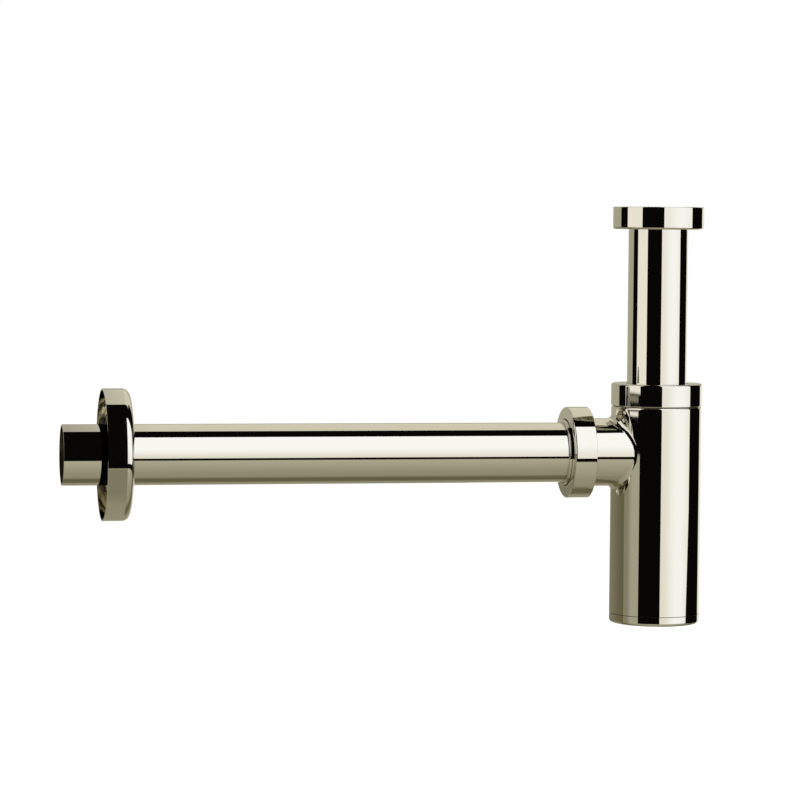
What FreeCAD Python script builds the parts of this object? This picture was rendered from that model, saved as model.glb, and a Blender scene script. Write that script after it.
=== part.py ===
import FreeCAD, Part

import math
import os

import Sketcher

# Bottle trap for a wash basin, in millimetres.
# The origin is the centre of the basin nut's open rim, +Z is up along the bottle's axis,
# and the outlet pipe runs towards the wall along -X.

DRIVING_SIZES = {
    # waste tubes
    "tube_diameter": 32.0,
    "tube_wall": 1.0,
    "tube_play": 0.08,
    "flange_diameter": 38.8,
    "flange_thickness": 1.0,
    "pipe_length": 286.5,
    "pipe_insertion": 13.4,
    "wall_stub": 21.0,
    # union nuts, all three turned to one outer size
    "nut_diameter": 48.8,
    "nut_height": 12.0,
    "nut_floor": 2.2,
    "nut_hole_play": 0.5,
    "nut_closed_edge": 1.1,
    "nut_mouth_edge": 0.4,
    "thread_crest": 41.91,
    "thread_depth": 1.479,
    "thread_lead": 0.5,
    "basin_thread": 5.6,
    "seat_bore": 39.6,
    # rings, washers and seals
    "slip_ring": 0.8,
    "slip_ring_diameter": 40.2,
    "basin_washer": 2.0,
    "ring_sleeve_wall": 1.5,
    "ring_sleeve_proud": 1.6,
    "seal_proud": 1.2,
    "seal_depth": 3.4,
    "seal_play": 0.1,
    "mouth_land": 0.7,
    "mouth_taper": 4.0,
    # bottle
    "tube_showing": 82.6,
    "nut_gap": 0.2,
    "nut_over_body": 0.1,
    "body_wall": 1.5,
    "body_length": 111.5,
    "body_shoulder": 3.0,
    "body_edge": 1.2,
    "neck_bore_play": 0.8,
    "outlet_drop": 24.9,
    "branch_diameter": 36.4,
    "branch_reach": 46.2,
    "branch_fillet": 3.0,
    "collar_recess": 0.6,
    "socket_depth": 16.0,
    # cleaning cap
    "cap_gap": 0.3,
    "cap_height": 4.9,
    "cap_edge": 1.5,
    "cap_floor": 3.4,
    "cap_thread_depth": 0.9,
    "cap_thread_play": 0.1,
    "sump_depth": 15.0,
    "spigot_length": 8.0,
    "spigot_wall": 2.0,
    "cap_washer_groove": 0.8,
    "cap_washer_lip": 0.7,
    "cap_slot_width": 3.0,
    "cap_slot_length": 24.0,
    "cap_slot_depth": 1.4,
    # wall rosette
    "rosette_diameter": 69.2,
    "rosette_depth": 14.0,
    "rosette_wall": 0.9,
    "rosette_round": 4.0,
    "grip_wall": 0.9,
    "grip_flange": 2.6,
    "grip_depth": 2.4,
}

document = FreeCAD.newDocument("BottleTrap")
sheet = document.addObject("Spreadsheet::Sheet", "Sizes")
for row, (alias, number) in enumerate(DRIVING_SIZES.items(), start=1):
    sheet.set(f"A{row}", alias)
    sheet.set(f"B{row}", str(number))
    sheet.setAlias(f"B{row}", alias)
document.recompute()


class Size:
    """A length that knows its number and the sheet expression that gives it."""

    def __init__(self, text, value):
        self.text = text
        self.value = value

    def joined(self, sign, other, value):
        return Size(f"({self.text} {sign} {text_of(other)})", value)

    def __add__(self, other):
        return self.joined("+", other, self.value + value_of(other))

    def __sub__(self, other):
        return self.joined("-", other, self.value - value_of(other))

    def __mul__(self, other):
        return self.joined("*", other, self.value * value_of(other))

    def __truediv__(self, other):
        return self.joined("/", other, self.value / value_of(other))

    def __neg__(self):
        return Size(f"(-1 * {self.text})", -self.value)


def text_of(item):
    return item.text if isinstance(item, Size) else str(item)


def value_of(item):
    return item.value if isinstance(item, Size) else item


def size(alias):
    return Size(f"Sizes.{alias}", DRIVING_SIZES[alias])


ZERO = Size("0", 0.0)

# Radii that several pieces share

tube_outer = size("tube_diameter") / 2
tube_inner = tube_outer - size("tube_wall")
snug_on_tube = tube_outer + size("tube_play")
nut_outer = size("nut_diameter") / 2
thread_crest = size("thread_crest") / 2
thread_root = thread_crest - size("thread_depth")
body_outer = nut_outer - size("nut_over_body")
body_inner = body_outer - size("body_wall")
neck_bore = tube_outer + size("neck_bore_play")
mouth_radius = thread_root - size("mouth_land")

# Lengths that follow from how the pieces stack

nut_chamber = size("nut_height") - size("nut_floor")
neck_length = nut_chamber + size("nut_gap") - size("slip_ring") - size("seal_proud")
collar_length = neck_length - size("nut_gap") - size("collar_recess")

# Heights on the bottle's axis, all below the basin nut's open rim

slip_ring_seat = -nut_chamber
flange_seat = slip_ring_seat + size("slip_ring")
flange_top = flange_seat + size("flange_thickness")
bottle_nut_mouth = -(size("nut_height") + size("tube_showing") + size("nut_height"))
body_top = bottle_nut_mouth - size("nut_gap")
neck_top = body_top + neck_length
outlet_height = body_top - size("outlet_drop")
body_end = body_top - size("body_length")
cap_top = body_end - size("cap_gap")
cap_bottom = -size("cap_height")
cup_floor = cap_bottom + size("cap_floor")
inlet_foot = cap_top + cup_floor + size("sump_depth")

# Distances from the bottle's axis along the outlet pipe

outlet_nut_mouth = size("branch_reach") + size("seal_proud") + size("slip_ring") - nut_chamber
pipe_start = size("branch_reach") - size("pipe_insertion")
rosette_rim = pipe_start + size("pipe_length") - size("wall_stub")

UP = FreeCAD.Rotation()
DOWN = FreeCAD.Rotation(FreeCAD.Vector(0, 1, 0), 180)
TO_WALL = FreeCAD.Rotation(FreeCAD.Vector(0, 1, 0), -90)


def new_body(label, turn, along_z=ZERO, along_x=ZERO):
    """A body named after its piece, placed in the trap's frame by bound distances."""
    body = document.addObject("PartDesign::Body", label)
    body.Label = label
    body.Placement = FreeCAD.Placement(FreeCAD.Vector(along_x.value, 0, along_z.value), turn)
    body.setExpression(".Placement.Base.x", along_x.text)
    body.setExpression(".Placement.Base.z", along_z.text)
    return body


def origin_plane(body, role):
    return next(item for item in body.Origin.OriginFeatures if item.Role == role)


def outline(body, name, points, role="XZ_Plane", height=None):
    """A closed outline of straight edges, each corner held by its two distances."""
    sketch = body.newObject("Sketcher::SketchObject", name)
    sketch.AttachmentSupport = [(origin_plane(body, role), "")]
    sketch.MapMode = "FlatFace"
    if height is not None:
        sketch.setExpression(".AttachmentOffset.Base.z", height.text)
    corners = [FreeCAD.Vector(x.value, y.value, 0) for x, y in points]
    for index, start in enumerate(corners):
        sketch.addGeometry(Part.LineSegment(start, corners[(index + 1) % len(corners)]), False)
    for index in range(len(corners)):
        following = (index + 1) % len(corners)
        sketch.addConstraint(Sketcher.Constraint("Coincident", index, 2, following, 1))
    for index, (x, y) in enumerate(points):
        for kind, distance in (("DistanceX", x), ("DistanceY", y)):
            held = sketch.addConstraint(Sketcher.Constraint(kind, -1, 1, index, 1, distance.value))
            label = f"{kind[-1].lower()}{index}"
            sketch.renameConstraint(held, label)
            sketch.setExpression(f"Constraints.{label}", distance.text)
    return sketch


def turned(body, name, points, kind="Revolution", axis="V_Axis"):
    """Material added or cut by turning an outline a full turn about one of its axes."""
    sketch = outline(body, f"{name}Outline", points)
    feature = body.newObject(f"PartDesign::{kind}", name)
    feature.Profile = sketch
    feature.ReferenceAxis = (sketch, [axis])
    feature.Angle = 360
    document.recompute()
    return feature


def rings(feature, places):
    """Names of the circular edges about the local Z axis at the given radii and heights."""
    found = []
    for number, edge in enumerate(feature.Shape.Edges, start=1):
        curve = edge.Curve
        if not isinstance(curve, Part.Circle) or abs(abs(curve.Axis.z) - 1) > 1e-6:
            continue
        for radius, height in places:
            near = abs(curve.Radius - radius.value) < 1e-4 and abs(curve.Center.z - height.value) < 1e-4
            if near:
                found.append(f"Edge{number}")
    return found


def rounded(body, name, feature, edges, radius):
    fillet = body.newObject("PartDesign::Fillet", name)
    fillet.Base = (feature, edges)
    fillet.setExpression("Radius", radius.text)
    document.recompute()
    return fillet


def union_nut(label, hole, turn, along_z=ZERO, along_x=ZERO, seat=None):
    """A round union nut: open threaded mouth at local zero, closed end above it."""
    body = new_body(label, turn, along_z, along_x)
    lead = size("thread_lead")
    top = size("nut_height")
    step = size("basin_thread")
    if seat is None:
        inside = [(thread_crest, nut_chamber), (thread_crest, lead), (thread_crest + lead, ZERO)]
    else:
        inside = [(seat, nut_chamber), (seat, step), (thread_crest, step), (thread_crest, ZERO)]
    points = inside + [(nut_outer, ZERO), (nut_outer, top), (hole, top), (hole, nut_chamber)]
    shell = turned(body, "NutShell", points)
    closed = rounded(body, "ClosedEdge", shell, rings(shell, [(nut_outer, top)]), size("nut_closed_edge"))
    rounded(body, "MouthEdge", closed, rings(closed, [(nut_outer, ZERO)]), size("nut_mouth_edge"))
    return body


def flat_ring(label, inner, outer, thickness, turn, along_z=ZERO, along_x=ZERO):
    """A washer whose lower face is at local zero."""
    body = new_body(label, turn, along_z, along_x)
    turned(body, "Washer", [(inner, ZERO), (outer, ZERO), (outer, thickness), (inner, thickness)])
    return body


def cone_seal(label, turn, along_z=ZERO, along_x=ZERO):
    """A tapered rubber seal that sits in a coned mouth whose face is at local zero."""
    body = new_body(label, turn, along_z, along_x)
    fall = (mouth_radius - neck_bore) * size("seal_depth") / size("mouth_taper")
    rim = mouth_radius - size("seal_play")
    depth = size("seal_depth")
    proud = size("seal_proud")
    points = [(snug_on_tube, -depth), (rim - fall, -depth), (rim, ZERO), (rim, proud), (snug_on_tube, proud)]
    turned(body, "Seal", points)
    return body


# Basin union: nut, slip ring, flanged inlet tube and washer

union_nut("basin_union_nut", tube_outer + size("nut_hole_play"), DOWN, seat=size("seat_bore") / 2)

flat_ring("inlet_slip_ring", snug_on_tube, size("flange_diameter") / 2, size("slip_ring"), UP,
          along_z=slip_ring_seat)

inlet = new_body("inlet_tube", UP, along_z=flange_top)
flange_outer = size("flange_diameter") / 2
flange_under = -size("flange_thickness")
inlet_end = inlet_foot - flange_top
turned(inlet, "FlangedTube", [
    (tube_inner, ZERO),
    (flange_outer, ZERO),
    (flange_outer, flange_under),
    (tube_outer, flange_under),
    (tube_outer, inlet_end),
    (tube_inner, inlet_end),
])

flat_ring("basin_washer", tube_inner, flange_outer, size("basin_washer"), UP, along_z=flange_top)

# Bottle joint: nut, slip ring and cone seal round the inlet tube

union_nut("bottle_nut", tube_outer + size("nut_hole_play"), UP, along_z=bottle_nut_mouth)

ring_outer = size("slip_ring_diameter") / 2
flat_ring("bottle_slip_ring", snug_on_tube, ring_outer, size("slip_ring"), UP,
          along_z=neck_top + size("seal_proud"))

cone_seal("bottle_seal", UP, along_z=neck_top)

# Bottle body: local zero is where the bottle's axis crosses the outlet's axis

bottle = new_body("bottle_body", UP, along_z=outlet_height)
shoulder = size("outlet_drop")
neck_end = shoulder + neck_length
body_low = shoulder - size("body_length")
reach = size("branch_reach")
branch_outer = size("branch_diameter") / 2
turned(bottle, "BodyBlank", [
    (ZERO, body_low),
    (body_outer, body_low),
    (body_outer, shoulder),
    (thread_root, shoulder),
    (thread_root, neck_end),
    (ZERO, neck_end),
])
blank = turned(bottle, "BranchBlank", [
    (ZERO, ZERO),
    (-reach, ZERO),
    (-reach, thread_root),
    (collar_length - reach, thread_root),
    (collar_length - reach, branch_outer),
    (ZERO, branch_outer),
], axis="H_Axis")


def crossing_edges(feature):
    """Edges where the branch leaves the bottle's round wall, on the wall side of the axis."""
    names = []
    for number, edge in enumerate(feature.Shape.Edges, start=1):
        middle = edge.valueAt((edge.FirstParameter + edge.LastParameter) / 2)
        on_wall = abs(math.hypot(middle.x, middle.y) - body_outer.value) < 1e-3
        on_branch = abs(math.hypot(middle.y, middle.z) - branch_outer.value) < 1e-3
        if on_wall and on_branch and middle.x < 0:
            names.append(f"Edge{number}")
    return names


flared = rounded(bottle, "BranchFillet", blank, crossing_edges(blank), size("branch_fillet"))
rounded(bottle, "ShoulderEdge", flared, rings(flared, [(body_outer, shoulder)]), size("body_edge"))
roof = shoulder - size("body_shoulder")
mouth_bottom = neck_end - size("mouth_taper")
turned(bottle, "BottleBore", [
    (ZERO, body_low),
    (body_inner, body_low),
    (body_inner, roof - (body_inner - neck_bore)),
    (neck_bore, roof),
    (neck_bore, mouth_bottom),
    (mouth_radius, neck_end),
    (ZERO, neck_end),
], kind="Groove")
turned(bottle, "BranchBore", [
    (ZERO, ZERO),
    (-reach, ZERO),
    (-reach, mouth_radius),
    (size("mouth_taper") - reach, neck_bore),
    (size("socket_depth") - reach, neck_bore),
    (size("socket_depth") - reach, tube_inner),
    (ZERO, tube_inner),
], kind="Groove", axis="H_Axis")

# Cleaning cap: flange with a screwed spigot, a washer groove and a slot for a coin

cap = new_body("cleaning_cap", UP, along_z=cap_top)
spigot_root = body_inner - size("cap_thread_play") - size("cap_thread_depth")
spigot_inner = spigot_root - size("spigot_wall")
groove_floor = -size("cap_washer_groove")
groove_outer = body_outer - size("cap_washer_lip")
cap_blank = turned(cap, "CapBlank", [
    (ZERO, cap_bottom),
    (body_outer, cap_bottom),
    (body_outer, ZERO),
    (groove_outer, ZERO),
    (groove_outer, groove_floor),
    (spigot_root, groove_floor),
    (spigot_root, size("spigot_length")),
    (spigot_inner, size("spigot_length")),
    (spigot_inner, cup_floor),
    (ZERO, cup_floor),
])
rounded(cap, "CapEdge", cap_blank, rings(cap_blank, [(body_outer, cap_bottom)]), size("cap_edge"))
slot_x = size("cap_slot_length") / 2
slot_y = size("cap_slot_width") / 2
slot_outline = outline(
    cap,
    "SlotOutline",
    [(-slot_x, -slot_y), (slot_x, -slot_y), (slot_x, slot_y), (-slot_x, slot_y)],
    role="XY_Plane",
    height=cap_bottom,
)
slot = cap.newObject("PartDesign::Pocket", "CoinSlot")
slot.Profile = slot_outline
slot.Reversed = True
slot.setExpression("Length", size("cap_slot_depth").text)
document.recompute()

flat_ring("cap_washer", spigot_root + size("cap_thread_play"), groove_outer - size("cap_thread_play"),
          size("cap_washer_groove") + size("cap_gap"), UP, along_z=cap_top + groove_floor)

# Outlet joint: nut, sleeved slip ring and cone seal round the outlet pipe

sleeve_outer = snug_on_tube + size("ring_sleeve_wall")
union_nut("outlet_nut", sleeve_outer + size("nut_hole_play"), TO_WALL,
          along_z=outlet_height, along_x=-outlet_nut_mouth)

outlet_ring = new_body("outlet_slip_ring", TO_WALL, along_z=outlet_height, along_x=-(reach + size("seal_proud")))
sleeve_top = size("slip_ring") + size("nut_floor") + size("ring_sleeve_proud")
ring_blank = turned(outlet_ring, "SleevedRing", [
    (snug_on_tube, ZERO),
    (ring_outer, ZERO),
    (ring_outer, size("slip_ring")),
    (sleeve_outer, size("slip_ring")),
    (sleeve_outer, sleeve_top),
    (snug_on_tube, sleeve_top),
])
rounded(outlet_ring, "SleeveEdge", ring_blank, rings(ring_blank, [(sleeve_outer, sleeve_top)]),
        size("ring_sleeve_wall") / 2)

cone_seal("outlet_seal", TO_WALL, along_z=outlet_height, along_x=-reach)

# Outlet pipe and wall rosette

pipe = new_body("outlet_pipe", TO_WALL, along_z=outlet_height, along_x=-pipe_start)
turned(pipe, "Pipe", [
    (tube_inner, ZERO),
    (tube_outer, ZERO),
    (tube_outer, size("pipe_length")),
    (tube_inner, size("pipe_length")),
])

rosette = new_body("wall_rosette", TO_WALL, along_z=outlet_height, along_x=-rosette_rim)
rosette_outer = size("rosette_diameter") / 2
rosette_wall = size("rosette_wall")
rosette_front = -size("rosette_depth")
rosette_back = rosette_front + rosette_wall
rosette_hole = snug_on_tube + size("grip_wall")
rosette_blank = turned(rosette, "RosetteShell", [
    (rosette_outer, ZERO),
    (rosette_outer - rosette_wall, ZERO),
    (rosette_outer - rosette_wall, rosette_back),
    (rosette_hole, rosette_back),
    (rosette_hole, rosette_front),
    (rosette_outer, rosette_front),
])
outer_round = rounded(rosette, "OuterRound", rosette_blank,
                      rings(rosette_blank, [(rosette_outer, rosette_front)]), size("rosette_round"))
rounded(rosette, "InnerRound", outer_round,
        rings(outer_round, [(rosette_outer - rosette_wall, rosette_back)]), size("rosette_round") - rosette_wall)

grip = new_body("rosette_grip_ring", TO_WALL, along_z=outlet_height, along_x=-rosette_rim)
grip_outer = rosette_hole + size("grip_flange")
grip_end = rosette_back + size("grip_depth")
turned(grip, "GripRing", [
    (snug_on_tube, rosette_front),
    (rosette_hole, rosette_front),
    (rosette_hole, rosette_back),
    (grip_outer, rosette_back),
    (grip_outer, grip_end),
    (snug_on_tube, grip_end),
])

# Nothing is written unless every object rebuilt cleanly and every piece is one valid solid

document.recompute()
failed = [item.Name for item in document.Objects if "Invalid" in item.State or "Error" in item.State]
if failed:
    raise SystemExit(f"objects that failed to rebuild: {failed}")
pieces = [item for item in document.Objects if item.TypeId == "PartDesign::Body"]
for piece in pieces:
    if piece.Shape.isNull() or not piece.Shape.isValid() or len(piece.Shape.Solids) != 1:
        raise SystemExit(f"{piece.Label} is not one valid solid")

os.makedirs("parts", exist_ok=True)
for piece in pieces:
    piece.Shape.exportStep(f"parts/{piece.Label}.step")
    box = piece.Shape.BoundBox
    print(f"{piece.Label}: {piece.Shape.Volume:.1f} mm3, x {box.XMin:.2f} to {box.XMax:.2f}, "
          f"z {box.ZMin:.2f} to {box.ZMax:.2f}")
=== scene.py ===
# %% [markdown]
# # A bottle trap in polished nickel
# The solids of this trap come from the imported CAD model, and this lesson dresses them. Polished
# metal has almost no colour of its own: nearly all of what the eye sees is the room mirrored in
# it. So the lesson spends its effort on three things: true, smooth surfaces, small turned
# details that catch the light, and a photographer's studio for the metal to mirror.

import math

import bpy
from mathutils import Matrix, Vector


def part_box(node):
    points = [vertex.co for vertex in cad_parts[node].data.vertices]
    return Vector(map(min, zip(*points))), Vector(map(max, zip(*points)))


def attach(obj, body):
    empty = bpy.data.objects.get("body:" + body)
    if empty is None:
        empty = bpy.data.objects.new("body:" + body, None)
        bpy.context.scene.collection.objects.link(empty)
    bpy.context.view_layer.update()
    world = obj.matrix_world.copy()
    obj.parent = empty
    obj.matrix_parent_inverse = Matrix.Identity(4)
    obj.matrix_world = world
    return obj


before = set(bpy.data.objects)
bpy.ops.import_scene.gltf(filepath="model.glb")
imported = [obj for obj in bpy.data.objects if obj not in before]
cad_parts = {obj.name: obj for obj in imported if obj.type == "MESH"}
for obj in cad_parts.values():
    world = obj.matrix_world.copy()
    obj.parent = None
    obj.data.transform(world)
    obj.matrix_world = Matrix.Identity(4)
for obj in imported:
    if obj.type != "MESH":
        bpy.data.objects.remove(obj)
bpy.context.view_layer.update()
print("CAD nodes:", ", ".join(sorted(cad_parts)))

# %% [markdown]
# ## Measures read from the solids
# The heights and distances that the threads and finishes need are read from the boxes of the CAD
# nodes, so a change of the solids carries through to the looks.
# The outlet's pieces share one axis that runs towards the wall, along -X.

# %% Heights and distances
bottle_low, bottle_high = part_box("bottle_body")
pipe_low, pipe_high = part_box("outlet_pipe")
outlet_height = (pipe_low.z + pipe_high.z) / 2
basin_nut_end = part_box("basin_union_nut")[1].z
bottle_nut_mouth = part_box("bottle_nut")[0].z
outlet_nut_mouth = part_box("outlet_nut")[1].x
cap_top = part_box("cleaning_cap")[1].z
print(f"outlet axis {outlet_height * 1000:.1f} mm, neck top {bottle_high.z * 1000:.1f} mm")

# %% [markdown]
# ## Writing shader maths like arithmetic
# A procedural finish is a formula. Building it node by node hides the formula, so one small
# class wraps an output socket and gives it the usual operators: an expression such as
# `1 - mask` adds its own Math node. Every other kind of node comes from one method, which takes
# the node's type, its settings, and the values or links of its sockets.

# %% Wire
DEGREES = 180 / math.pi


class Wire:
    """An output socket that can stand in a sum."""

    def __init__(self, graph, socket):
        self.graph = graph
        self.socket = socket

    def maths(self, operation, *terms):
        return self.graph.node("ShaderNodeMath", {"operation": operation}, dict(enumerate(terms)))

    def tap(self, output):
        """Another output of the same node."""
        return Wire(self.graph, self.socket.node.outputs[output])

    def angle(self, other):
        """The angle in degrees whose tangent is this over the other."""
        return self.maths("ARCTAN2", self, other) * DEGREES

    def __abs__(self):
        return self.maths("ABSOLUTE", self)

    def __add__(self, other):
        return self.maths("ADD", self, other)

    def __radd__(self, other):
        return self.maths("ADD", other, self)

    def __sub__(self, other):
        return self.maths("SUBTRACT", self, other)

    def __rsub__(self, other):
        return self.maths("SUBTRACT", other, self)

    def __mul__(self, other):
        return self.maths("MULTIPLY", self, other)

    def __rmul__(self, other):
        return self.maths("MULTIPLY", other, self)

    def __truediv__(self, other):
        return self.maths("DIVIDE", self, other)

    def __pow__(self, power):
        return self.maths("POWER", self, power)


print("sockets can be added and multiplied")

# %% [markdown]
# ### One tree, written from the inside out
# A graph makes nodes in one tree. Three shapes of mask and mix come back again and again: a soft
# step, a band between two steps, and one colour turning into another.

# %% Graph
class Graph:
    """A node tree that is written from the inside out."""

    def __init__(self, tree):
        self.tree = tree

    def node(self, kind, settings=None, sockets=None, output=0):
        made = self.tree.nodes.new(kind)
        for name, value in (settings or {}).items():
            setattr(made, name, value)
        for key, value in (sockets or {}).items():
            self.feed(made.inputs[key], value)
        return Wire(self, made.outputs[output])

    def feed(self, socket, value):
        if isinstance(value, Wire):
            self.tree.links.new(value.socket, socket)
        else:
            socket.default_value = value

    def step(self, value, low, high):
        """0 below low, 1 above high, and a soft change between them."""
        return self.node(
            "ShaderNodeMapRange",
            {"interpolation_type": "SMOOTHSTEP"},
            {"Value": value, "From Min": low, "From Max": high},
        )

    def band(self, value, low, high, soft):
        """1 between low and high, with soft edges."""
        rising = self.step(value, low - soft, low + soft)
        return rising * (1 - self.step(value, high - soft, high + soft))

    def blend(self, share, first, second):
        """One colour turning into another."""
        sockets = {0: share, 6: first, 7: second}
        return self.node("ShaderNodeMix", {"data_type": "RGBA"}, sockets, output=2)

    def vector(self, x, y, z):
        return self.node("ShaderNodeCombineXYZ", None, {0: x, 1: y, 2: z})


print("graph ready")

# %% [markdown]
# ### A material in one object
# Each material here is one Principled shader and the graph that feeds it. Every pattern is laid
# out in object coordinates, which are metres in the frame of the part, so a scale is a real size
# and the pattern stays on its piece when a joint moves it.

# %% Finish
def colour(red, green, blue):
    """A colour in linear light."""
    return (red, green, blue, 1.0)


class Finish(Graph):
    """A material with one Principled shader."""

    def __init__(self, name):
        self.material = bpy.data.materials.new(name)
        self.material.use_nodes = True
        super().__init__(self.material.node_tree)
        self.shader = self.tree.nodes["Principled BSDF"]
        self.place = self.node("ShaderNodeTexCoord", output="Object")
        self.x = self.node("ShaderNodeSeparateXYZ", None, {0: self.place})
        self.y = self.x.tap("Y")
        self.z = self.x.tap("Z")

    def set(self, **values):
        """Feed the shader's sockets, written with underscores for their blanks."""
        for name, value in values.items():
            self.feed(self.shader.inputs[name.replace("_", " ")], value)

    def noise(self, scale, detail=3.0, roughness=0.5, place=None):
        return self.node(
            "ShaderNodeTexNoise",
            None,
            {"Vector": place or self.place, "Scale": scale, "Detail": detail, "Roughness": roughness},
        )

    def bump(self, height, strength, distance):
        sockets = {"Height": height, "Strength": strength, "Distance": distance}
        return self.node("ShaderNodeBump", None, sockets)


print("shader helpers ready")

# %% [markdown]
# ## Polished nickel
# The trap is turned from brass, buffed and nickel plated. Nickel is a silver with a little
# warmth. Buffing leaves a mirror, but never a perfect one: a faint haze changes over a few
# millimetres, hairlines run round each piece in the direction it span on the lathe, and hands
# leave soft smudges. These belong in Roughness and in a tiny bump, because a stain painted into
# the colour would look like dirt.
#
# Faces that look inwards, towards a piece's own axis, were never buffed: there the plating is
# thin and dull over the brass. Their colour is also painted darker and browner, which is painted
# shade in the bores and hollows. So the finish first works out where a point lies about its axis,
# and which way its face looks. Two versions are needed, one turned about the bottle's axis and
# one about the outlet's.

# %% Where a point lies about its axis
def turned_about(finish, toward_wall):
    """The way along the axis, the distance from it, one way across it, and 1 on inward faces."""
    facing = finish.node("ShaderNodeNewGeometry", output="Normal")
    facing_x = finish.node("ShaderNodeSeparateXYZ", None, {0: facing})
    facing_y, facing_z = facing_x.tap("Y"), facing_x.tap("Z")
    if toward_wall:
        along, across, up = finish.x, finish.y, finish.z - outlet_height
        outward = across * facing_y + up * facing_z
    else:
        along, across, up = finish.z, finish.x, finish.y
        outward = across * facing_x + up * facing_y
    radius = (across * across + up * up) ** 0.5
    inside = 1 - finish.step(outward / radius, -0.6, -0.3)
    return along, radius, up, inside


print("axes: the bottle's upright one, and the outlet's")

# %% [markdown]
# ### The polish and its flaws
# The branch stands out from the barrel and is polished, although some of it faces the bottle's
# axis, so from the middle of the barrel's wall outwards nothing counts as inside. About the
# outlet's axis, the wide hollow of the rosette lets the buffing wheel in: it shines a little, and
# most of its painted shade is lifted.

# %% The nickel finish
NICKEL = colour(0.800, 0.780, 0.725)
NICKEL_WORN = colour(0.775, 0.745, 0.675)
# The two inside tones are dull plating over brass, darkened further with painted shade.
INSIDE_DULL_SHADED = colour(0.430, 0.370, 0.255)
INSIDE_PALE_SHADED = colour(0.520, 0.470, 0.370)
BARREL_WALL = 0.0235
WHEEL_REACHES = 0.0185


def nickel(name, toward_wall):
    finish = Finish(name)
    along, radius, up, inside = turned_about(finish, toward_wall)
    if not toward_wall:
        inside = inside * (1 - finish.step(radius, BARREL_WALL - 0.0003, BARREL_WALL + 0.0003))

    haze = finish.noise(180.0, detail=4.0)
    smudge = finish.step(finish.noise(34.0, detail=5.0, roughness=0.62), 0.54, 0.78)
    turning = finish.vector(along * 9000.0, radius * 9000.0, up * 40.0)
    hairline = finish.noise(1.0, detail=2.0, place=turning)
    specks = finish.step(finish.noise(900.0, detail=2.0), 0.68, 0.80)

    worn = finish.blend(smudge * 0.5, NICKEL, NICKEL_WORN)
    # Inward faces take a darker brown: the dull unbuffed plating, and painted shade in the bores and
    # hollows.
    dull_and_shaded = finish.blend(finish.noise(260.0, detail=5.0), INSIDE_DULL_SHADED, INSIDE_PALE_SHADED)
    polished = 0.006 + haze * 0.014 + smudge * 0.022
    raw = 0.16 + haze * 0.12 + specks * 0.18
    if toward_wall:
        reached = finish.step(radius, WHEEL_REACHES - 0.001, WHEEL_REACHES + 0.001)
        raw = raw * (1 - 0.85 * reached)
        dull_and_shaded = finish.blend(reached * 0.9, dull_and_shaded, NICKEL_WORN)
    finish.set(
        Base_Color=finish.blend(inside, worn, dull_and_shaded),
        Metallic=1.0,
        Roughness=polished * (1 - inside) + raw * inside,
        Normal=finish.bump(hairline + specks * inside * 20.0, 0.006, 0.00002),
    )
    return finish.material


nickel_upright = nickel("polished_nickel_upright", toward_wall=False)
nickel_outlet = nickel("polished_nickel_outlet", toward_wall=True)
print("nickel:", nickel_upright.name, nickel_outlet.name)

# %% [markdown]
# ## Turned brass
# Threads and hidden slip rings are cut and left: yellow brass with the fine spiral that a lathe
# tool leaves, browner where fingers and damp have been. A stretched noise gives the tool marks,
# and a wider one mixes in the tarnish.

# %% The brass finish
BRASS = colour(0.56, 0.50, 0.38)
BRASS_TARNISHED = colour(0.32, 0.28, 0.19)


def turned_brass():
    finish = Finish("turned_brass")
    tarnish = finish.step(finish.noise(150.0, detail=5.0, roughness=0.6), 0.42, 0.70)
    stretched = finish.vector(finish.x * 7000.0, finish.y * 300.0, finish.z * 7000.0)
    marks = finish.noise(1.0, detail=2.0, place=stretched)
    finish.set(
        Base_Color=finish.blend(tarnish, BRASS, BRASS_TARNISHED),
        Metallic=1.0,
        Roughness=0.22 + tarnish * 0.16 + marks * 0.06,
        Normal=finish.bump(marks, 0.12, 0.00003),
    )
    return finish.material


brass = turned_brass()
print("brass:", brass.name)

# %% [markdown]
# ## Moulded rubber
# Washers and seals are black rubber from a steel mould. The mould gives an even fine grain, and
# the chalk that the pieces are packed in leaves a grey bloom on it. The grain is a small bump
# and the bloom a change of colour and roughness.

# %% The rubber finish
RUBBER = colour(0.020, 0.020, 0.021)
RUBBER_CHALKY = colour(0.085, 0.083, 0.080)


def moulded_rubber():
    finish = Finish("moulded_rubber")
    bloom = finish.step(finish.noise(210.0, detail=6.0, roughness=0.65), 0.46, 0.80)
    grain = finish.noise(4200.0, detail=2.0)
    finish.set(
        Base_Color=finish.blend(bloom, RUBBER, RUBBER_CHALKY),
        Roughness=0.52 + bloom * 0.26,
        Normal=finish.bump(grain, 0.35, 0.00006),
    )
    return finish.material


rubber = moulded_rubber()
print("rubber:", rubber.name)

# %% [markdown]
# ## Give each solid its finish
# A solid whose shape is right keeps its mesh and only changes its material. The list pairs each
# piece with the finish that the real one has. The outlet's slip ring shows its edge beside the
# nut, so it is plated like its neighbours.

# %% Finishes for the CAD nodes
FINISH_OF = {
    "basin_union_nut": nickel_upright,
    "inlet_tube": nickel_upright,
    "bottle_nut": nickel_upright,
    "bottle_body": nickel_upright,
    "cleaning_cap": nickel_upright,
    "outlet_nut": nickel_outlet,
    "outlet_slip_ring": nickel_outlet,
    "outlet_pipe": nickel_outlet,
    "wall_rosette": nickel_outlet,
    "inlet_slip_ring": brass,
    "bottle_slip_ring": brass,
    "basin_washer": rubber,
    "bottle_seal": rubber,
    "outlet_seal": rubber,
    "cap_washer": rubber,
    "rosette_grip_ring": rubber,
}


def wear(piece, finish):
    piece.data.materials.clear()
    piece.data.materials.append(finish)


for node, finish in FINISH_OF.items():
    wear(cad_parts[node], finish)
print(len(FINISH_OF), "nodes finished")

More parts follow.
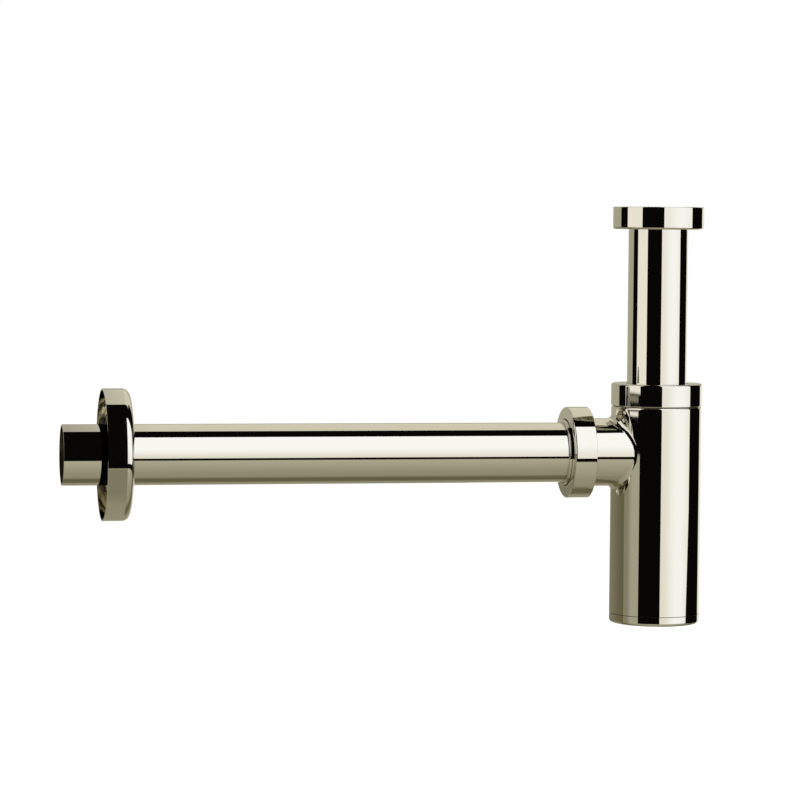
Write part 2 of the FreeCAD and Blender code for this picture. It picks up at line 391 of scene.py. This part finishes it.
# %% [markdown]
# ## Screw threads
# The solids leave the threads out: a male thread is bare down to its root and a female one is
# bored to its crest. A thread is one ridge that climbs round and round, so it is swept here as a
# small section of points that turns and rises by one pitch a turn. The ridge of a nut sits half
# a pitch from the ridge of its neck, so the two mesh, and the joints turn a nut and lift it by
# the same pitch. Both ends of a real thread run out to nothing, and so do these.

# %% Skin over a row of sections
TURN = 2 * math.pi


def add_mesh(name, points, faces):
    mesh = bpy.data.meshes.new(name)
    mesh.from_pydata(points, [], faces)
    piece = bpy.data.objects.new(name, mesh)
    bpy.context.scene.collection.objects.link(piece)
    return piece


def ridge_faces(count, size, flip):
    """Quads from each section to the next, and a lid on both ends."""
    faces = []
    for index in range(count):
        for side in range(size):
            here = index * size + side
            beside = index * size + (side + 1) % size
            faces.append((here, beside, beside + size, here + size))
    faces.append(tuple(range(size))[::-1])
    faces.append(tuple(count * size + side for side in range(size)))
    return [face[::-1] for face in faces] if flip else faces


print("mesh helpers ready")

# %% [markdown]
# ### The ridge itself
# The section is a flat-topped tooth. It reaches a tenth of a millimetre into the metal that
# carries it, so no light shows under it. It runs out to nothing over the last 0.9 radians of a
# turn at both ends. A nut's ridge points inwards, which turns its faces inside out, so they are
# flipped.

# %% The thread builder
STEPS_PER_TURN = 72
EMBED = 0.0001
RUN_OUT = 0.9
THINNEST = 0.02


def thread(name, body, root, crest, pitch, flank, slack, ends, phase, seat):
    """A ridge from root to crest radius, whose middle stays between the two heights in ends."""
    run = abs(crest - root) * math.tan(math.radians(flank))
    middle = pitch / 2 - slack
    wide, narrow = (middle + run) / 2, (middle - run) / 2
    buried = root + math.copysign(EMBED, root - crest)
    first = (ends[0] - phase) / pitch * TURN
    last = (ends[1] - phase) / pitch * TURN
    count = round((last - first) / TURN * STEPS_PER_TURN)
    points = []
    for index in range(count + 1):
        angle = first + (last - first) * index / count
        height = phase + pitch * angle / TURN
        fade = min(1.0, (angle - first) / RUN_OUT, (last - angle) / RUN_OUT)
        top = root + (crest - root) * max(fade, THINNEST)
        section = [
            (buried, -wide),
            (root, -wide),
            (top, -narrow),
            (top, narrow),
            (root, wide),
            (buried, wide),
        ]
        for radius, offset in section:
            spot = Vector((radius * math.cos(angle), radius * math.sin(angle), height + offset))
            points.append(seat @ spot)
    faces = ridge_faces(count, len(section), flip=crest < root)
    piece = add_mesh(name, points, faces)
    piece.data.shade_smooth()
    piece.data.set_sharp_from_angle(angle=math.radians(20))
    wear(piece, brass)
    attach(piece, body)
    print(f"{name}: {(last - first) / TURN:.1f} turns, {len(faces)} faces")


# %% [markdown]
# ### The pipe threads
# The nuts carry the 1 1/4 inch pipe thread: 11 turns to the inch and flanks at 27.5 degrees from
# square. The neck of the bottle and the collar of the branch carry its male half.

# %% Sizes of the pipe thread
PIPE_PITCH = 0.002309
PIPE_CREST = 0.020955
PIPE_ROOT = 0.019476
MESH_GAP = 0.00008
SHARED = {"pitch": PIPE_PITCH, "flank": 27.5, "slack": MESH_GAP}
MALE = {"root": PIPE_ROOT, "crest": PIPE_CREST - MESH_GAP, **SHARED}
FEMALE = {"root": PIPE_CREST, "crest": PIPE_ROOT + MESH_GAP, **SHARED}

upright = Matrix.Identity(4)
to_wall = Matrix.Translation((0, 0, outlet_height)) @ Matrix.Rotation(math.radians(-90), 4, "Y")
print(f"pipe thread {PIPE_PITCH * 1000:.3f} mm a turn, {PIPE_CREST * 2000:.2f} mm over its crest")

# %% Threads on the bottle's axis
NUT_GAP = 0.0002
SHOULDER_RELIEF = 0.0016
NECK_LEAD = 0.0011
NUT_LEAD = 0.0013
NUT_THREAD_END = 0.0070
BASIN_LEAD = 0.0010
BASIN_THREAD_END = 0.0047

shoulder = bottle_nut_mouth - NUT_GAP

thread("basin_nut_thread", "basin_nut", **FEMALE,
       ends=(basin_nut_end - BASIN_THREAD_END, basin_nut_end - BASIN_LEAD),
       phase=basin_nut_end, seat=upright)
thread("neck_thread", "bottle", **MALE,
       ends=(shoulder + SHOULDER_RELIEF, bottle_high.z - NECK_LEAD),
       phase=shoulder, seat=upright)
thread("bottle_nut_thread", "bottle_union", **FEMALE,
       ends=(bottle_nut_mouth + NUT_LEAD, bottle_nut_mouth + NUT_THREAD_END),
       phase=shoulder + PIPE_PITCH / 2, seat=upright)

# %% Threads on the outlet's axis
BRANCH_THREAD_END = 0.0060

branch_end = -bottle_low.x
nut_end = -outlet_nut_mouth

thread("branch_thread", "bottle", **MALE,
       ends=(branch_end - BRANCH_THREAD_END, branch_end - NECK_LEAD),
       phase=branch_end, seat=to_wall)
thread("outlet_nut_thread", "outlet_union", **FEMALE,
       ends=(nut_end + NUT_LEAD, nut_end + NUT_THREAD_END),
       phase=branch_end + PIPE_PITCH / 2, seat=to_wall)

# %% [markdown]
# ### The cap's thread
# The cleaning cap has a finer thread, 1.5 mm a turn, because only thin walls carry it.

# %% Cap threads
CAP_BORE = 0.0228
CAP_ROOT = 0.0218
CAP_PITCH = 0.0015
CAP_GAP = 0.00012
CAP_RELIEF = 0.0016
CAP_LEAD = 0.0009
FOOT_LEAD = 0.0012
CAP_THREAD = {"pitch": CAP_PITCH, "flank": 30.0, "slack": CAP_GAP / 2, "seat": upright}

foot = bottle_low.z
thread("cap_thread", "cap", root=CAP_ROOT, crest=CAP_BORE - CAP_GAP,
       ends=(foot + CAP_RELIEF, cap_top - CAP_LEAD), phase=foot, **CAP_THREAD)
thread("bottle_foot_thread", "bottle", root=CAP_BORE, crest=CAP_ROOT + CAP_GAP,
       ends=(foot + FOOT_LEAD, cap_top), phase=foot + CAP_PITCH / 2, **CAP_THREAD)

# %% [markdown]
# ## The studio
# A mirror needs a room. Product photographers hang tall cream panels for the bright bands and
# black cards between them, because the dark edges are what tells the eye that the metal is
# round. Real cards could be built one by one, but one large shell round the trap, painted with
# the same panels, is simpler and reflects in the same way. The shell only shows in mirrors: the
# camera, the shadows and the soft light ignore it.

# %% Tones of the studio
WHITE = colour(1.17, 1.19, 1.20)
CREAM = colour(0.90, 0.86, 0.74)
CREAM_LEFT = colour(1.00, 0.97, 0.85)
EDGE_LIGHT = colour(0.95, 0.93, 0.82)
BEIGE = colour(0.75, 0.72, 0.58)
BEIGE_SHADE = colour(0.44, 0.42, 0.34)
OLIVE_NEAR = colour(0.52, 0.49, 0.375)
OLIVE = colour(0.44, 0.42, 0.315)
OLIVE_FAR = colour(0.33, 0.31, 0.215)
OLIVE_SHADE = colour(0.25, 0.235, 0.16)
OLIVE_DARK = colour(0.150, 0.135, 0.075)
DIM = colour(0.24, 0.225, 0.16)
BLACK = colour(0.003, 0.0025, 0.002)
print("brightest tone", WHITE[:3], "and darkest", BLACK[:3])

# %% [markdown]
# ### Directions on the shell
# The paint is written in degrees, seen from the shell's middle. `round_to` turns from the front
# (0), about where the camera is, to the right, `height` is the angle above the horizon, `over`
# runs from the front horizon over the top to the back, and `aside` is the angle out to the
# right. A level cylinder mirrors mostly along `over` and an upright one along `round_to`, so
# each kind of piece can be given its bands without disturbing the other.

# %% A paint that knows its directions
class StudioPaint(Finish):
    """A finish with the direction of each point, in degrees."""

    def __init__(self, name):
        super().__init__(name)
        x, y, z = self.x, self.y, self.z
        front = 0 - y
        self.round_to = x.angle(front)
        self.height = z.angle((x * x + y * y) ** 0.5)
        self.over = z.angle(front)
        self.aside = x.angle((y * y + z * z) ** 0.5)


print("directions: round_to, height, over, aside")

# %% [markdown]
# ### The room behind the cards
# Where no card hangs, the metal mirrors the table below and the wall and ceiling above. The
# table grows darker the steeper one looks down at it, and darkest just past straight down, where
# the studio's own shadow lies. The strip that the rosette's rim mirrors lies in more shade. A
# low shelf on the left darkens the table again.

# %% Tones of table, wall and shelf
EDGE_BLUR = 0.03


def room_tones(paint):
    steep = abs(paint.over)
    below = paint.blend(paint.step(steep, 5.0, 88.0), OLIVE_NEAR, OLIVE_FAR)
    below = paint.blend(paint.band(steep, 96.0, 127.0, 9.0), below, OLIVE_DARK)
    beside_rim = paint.band(paint.aside, 1.60, 2.50, 0.06)
    rim_tone = paint.blend(paint.step(steep, 60.0, 100.0), OLIVE_SHADE, OLIVE_FAR)
    below = paint.blend(beside_rim, below, rim_tone)
    table = paint.blend(1 - paint.step(paint.height, -24.0, -14.0), OLIVE, below)
    above = paint.blend(paint.step(paint.aside, 0.0, 3.6), BEIGE_SHADE, BEIGE)
    shade = paint.blend(1 - paint.step(paint.height, -1.0, 1.0), above, table)
    near_level = paint.band(paint.height, -24.0, 21.0, 1.0)
    far_side = paint.step(abs(paint.round_to), 125.0, 127.0)
    return paint.blend(far_side * near_level, shade, OLIVE)


def shelf_shadow(paint):
    """How much the shelf on the left darkens the room."""
    behind = paint.band(paint.round_to, -179.0, -101.0, EDGE_BLUR)
    behind = behind * (0.72 + 0.28 * paint.step(paint.round_to, -165.0, -101.0))
    beside = paint.band(paint.round_to, -101.0, -72.0, EDGE_BLUR)
    beside = beside * 0.58 * (1 - paint.step(paint.round_to, -92.0, -72.0))
    return (behind + beside) * paint.band(paint.height, -24.0, -4.5, 0.3)


print("room and shelf ready")

# %% [markdown]
# ### The cards
# Each card is a tone and the edges between which it hangs, and a later card hangs in front of an
# earlier one. The large glow on the right is lit from above, so it turns creamy at its foot and
# stays white longest in its middle. The foot of the cream card on the left is cut in steps: they
# draw the small bright and dim patches on the bottle's nut.

# %% Edges shared by several cards
CREAM_BACK = -100.6
CREAM_FRONT = -54.6
GLOW_LEFT = -60.0
GLOW_RIGHT = 79.4
RIGHT_CARD_BACK = 126.0
GLOW_TOP = 70.9
ALL_THE_WAY = 89.0


def glow_tone(paint):
    middle = paint.step(paint.round_to, 5.0, 45.0)
    middle = middle * (1 - 0.5 * paint.step(paint.round_to, 55.0, 79.0))
    dimmed = (1 - paint.step(paint.height, -16.0, 26.0)) * (1 - 0.85 * middle)
    return paint.blend(1 - dimmed, CREAM, WHITE)


def cards(paint):
    round_to, height, over, aside = paint.round_to, paint.height, paint.over, paint.aside
    rim_light = (EDGE_LIGHT, [(round_to, RIGHT_CARD_BACK, 166.0), (height, -22.0, 3.3)])
    black_cards = [
        (BLACK, [(round_to, GLOW_RIGHT, RIGHT_CARD_BACK), (height, -21.0, 60.0)]),
        (BLACK, [(round_to, -127.0, CREAM_BACK), (height, -4.2, 45.0)]),
        (BLACK, [(round_to, CREAM_FRONT, GLOW_RIGHT), (height, -19.6, ALL_THE_WAY)]),
        (BLACK, [(round_to, CREAM_BACK, CREAM_FRONT), (height, -4.8, 0.0)]),
    ]
    foot_of_cream_card = [
        (CREAM_LEFT, [(round_to, CREAM_BACK, -95.0), (height, -3.34, 0.0)]),
        (CREAM_LEFT, [(round_to, -95.0, GLOW_LEFT), (height, -3.52, -3.36)]),
        (DIM, [(round_to, -91.0, GLOW_LEFT), (height, -3.13, -2.92)]),
    ]
    overhead = (BLACK, [(over, GLOW_TOP, 100.9)])
    glow_edges = [
        (round_to, GLOW_LEFT, GLOW_RIGHT),
        (aside, 2.46, ALL_THE_WAY),
        (over, -30.0, GLOW_TOP),
        (height, -11.6, ALL_THE_WAY),
    ]
    cream_card = (CREAM_LEFT, [(round_to, CREAM_BACK, CREAM_FRONT), (height, -2.84, 60.0)])
    behind = [rim_light, *black_cards, *foot_of_cream_card, overhead]
    return [*behind, (glow_tone(paint), glow_edges), cream_card]


print(f"glow from {GLOW_LEFT} to {GLOW_RIGHT} degrees, cream card from {CREAM_BACK} to {CREAM_FRONT}")

# %% [markdown]
# ### Paint the shell
# The room comes first and the cards are laid over it one by one, each as a mask made of bands.
# The paint glows by itself and takes no light, so the lamps can't wash it out.

# %% The studio paint
def studio_paint():
    paint = StudioPaint("studio_panels")
    shade = paint.blend(shelf_shadow(paint), room_tones(paint), OLIVE_DARK)
    for tone, edges in cards(paint):
        card = 1.0
        for value, low, high in edges:
            card = paint.band(value, low, high, EDGE_BLUR) * card
        shade = paint.blend(card, shade, tone)
    paint.set(
        Base_Color=colour(0, 0, 0),
        Specular_IOR_Level=0.0,
        Emission_Color=shade,
        Emission_Strength=1.0,
    )
    return paint.material


studio_finish = studio_paint()
print("studio paint:", len(studio_finish.node_tree.nodes), "nodes")

# %% The shell
SHELL_MIDDLE = Vector((-0.15, 0.0, -0.115))
SHELL_RADIUS = 2.3


def shell(name, radius, columns=48, rows=24):
    """A ball of flat faces, from the lowest point to the highest."""
    points = [Vector((0, 0, -radius))]
    for row in range(1, rows):
        tilt = math.pi * row / rows
        ring = radius * math.sin(tilt)
        for column in range(columns):
            spin = TURN * column / columns
            points.append(Vector((ring * math.cos(spin), ring * math.sin(spin), -radius * math.cos(tilt))))
    points.append(Vector((0, 0, radius)))
    faces = []
    top_ring = 1 + (rows - 2) * columns
    for column in range(columns):
        beside = (column + 1) % columns
        faces.append((0, 1 + beside, 1 + column))
        faces.append((len(points) - 1, top_ring + column, top_ring + beside))
        for row in range(rows - 2):
            low = 1 + row * columns
            faces.append((low + column, low + beside, low + columns + beside, low + columns + column))
    return add_mesh(name, points, faces)


studio = shell("studio_shell", SHELL_RADIUS)
studio.location = SHELL_MIDDLE
wear(studio, studio_finish)
studio.visible_camera = False
studio.visible_diffuse = False
studio.visible_shadow = False
studio.visible_transmission = False
print(f"studio shell, {SHELL_RADIUS} m radius")

# %% [markdown]
# ## Floor, backdrop and lamps
# The photograph shows the trap on plain white. The floor is pale paper some way below the cap,
# and a little of its own light, seen by the camera alone, brings it to white where no shadow
# falls. The world behind it is white for the camera as well. From below the paper is clear, so
# that the cap can be looked at. Two broad lamps give the rubber and the shadow their soft
# direction; they stay out of the mirrors, which have the panels.

# %% The floor
FLOOR_HEIGHT = -0.42
FLOOR_REACH = 14.0
NEAR_LIFT = colour(0.16, 0.16, 0.16)
FAR_LIFT = colour(0.54, 0.54, 0.54)
FLOOR_CORNERS = ((-1, -1), (1, -1), (1, 1), (-1, 1))


def floor_paper():
    paper = Finish("pale_paper")
    to_camera = paper.node("ShaderNodeLightPath", output="Is Camera Ray")
    fibre = paper.noise(60.0, detail=4.0)
    distance = (paper.x * paper.x + paper.y * paper.y) ** 0.5
    lift = paper.blend(paper.step(distance, 0.25, 0.9), NEAR_LIFT, FAR_LIFT)
    underneath = paper.node("ShaderNodeNewGeometry", output="Backfacing")
    paper.set(
        Base_Color=paper.blend(fibre, colour(0.84, 0.84, 0.83), colour(0.87, 0.87, 0.86)),
        Roughness=0.9,
        Emission_Color=paper.blend(to_camera, colour(0, 0, 0), lift),
        Emission_Strength=1.0,
        Alpha=1 - underneath,
    )
    return paper.material


corners = [(across * FLOOR_REACH, back * FLOOR_REACH, FLOOR_HEIGHT) for across, back in FLOOR_CORNERS]
paper_floor = add_mesh("paper_floor", corners, [(0, 1, 2, 3)])
wear(paper_floor, floor_paper())
paper_floor.visible_glossy = False
print("floor at", FLOOR_HEIGHT)

# %% The world
ROOM_LIGHT = 0.55

world = bpy.data.worlds.new("white_room")
bpy.context.scene.world = world
world.use_nodes = True
room = Graph(world.node_tree)
background = world.node_tree.nodes["Background"]
to_camera = room.node("ShaderNodeLightPath", output="Is Camera Ray")
background.inputs["Color"].default_value = colour(1, 1, 1)
room.feed(background.inputs["Strength"], ROOM_LIGHT + to_camera * (1 - ROOM_LIGHT))
print(f"room light {ROOM_LIGHT}, white for the camera")

# %% The lamps
LAMP_AIM = Vector((-0.15, 0, -0.1))


def lamp(name, place, width, power):
    light = bpy.data.lights.new(name, "AREA")
    light.shape = "SQUARE"
    light.size = width
    light.energy = power
    made = bpy.data.objects.new(name, light)
    bpy.context.scene.collection.objects.link(made)
    made.location = place
    made.rotation_euler = (LAMP_AIM - Vector(place)).to_track_quat("-Z", "Y").to_euler()
    made.visible_glossy = False
    made.visible_camera = False
    print(f"{name}: {power} W, {width} m wide")


lamp("key_lamp", (0.7, -1.3, 1.3), width=1.1, power=22.0)
lamp("fill_lamp", (-1.4, -0.9, 0.7), width=1.4, power=9.0)

# %% [markdown]
# ## The camera
# A long lens, level with the top nut: that nut's rim looks flat, while the lower nut and the cap
# open to narrow ellipses. Place, turn and focal length were worked out from the outlines of the
# tubes and nuts in the photograph. A small shift of the lens lets the camera dip less, so that
# the tubes stay nearly upright in the picture.

# %% Camera
CAMERA_PLACE = Vector((-0.4493, -1.6190, -0.0100))
CAMERA_YAW = math.radians(10.79)
CAMERA_DIP = math.radians(2.51)
CAMERA_ROLL = math.radians(0.50)
FOCAL_PIXELS = 3115.0
PHOTO_PIXELS = 800
SENSOR_WIDTH = 36.0
LENS_SHIFT = -0.05

level_ahead = Vector((math.sin(CAMERA_YAW), math.cos(CAMERA_YAW), 0))
level_right = Vector((math.cos(CAMERA_YAW), -math.sin(CAMERA_YAW), 0))
ahead = math.cos(CAMERA_DIP) * level_ahead - math.sin(CAMERA_DIP) * Vector((0, 0, 1))
level_up = level_right.cross(ahead)
right = math.cos(CAMERA_ROLL) * level_right + math.sin(CAMERA_ROLL) * level_up
up = right.cross(ahead)

lens = bpy.data.cameras.new("camera")
lens.sensor_width = SENSOR_WIDTH
lens.lens = FOCAL_PIXELS / PHOTO_PIXELS * SENSOR_WIDTH
lens.shift_y = LENS_SHIFT
camera = bpy.data.objects.new("camera", lens)
bpy.context.scene.collection.objects.link(camera)
turned = Matrix((right, up, -ahead)).transposed().to_4x4()
camera.matrix_world = Matrix.Translation(CAMERA_PLACE) @ turned
bpy.context.scene.camera = camera
bpy.context.scene.view_settings.view_transform = "Standard"
print(f"lens {lens.lens:.1f} mm")
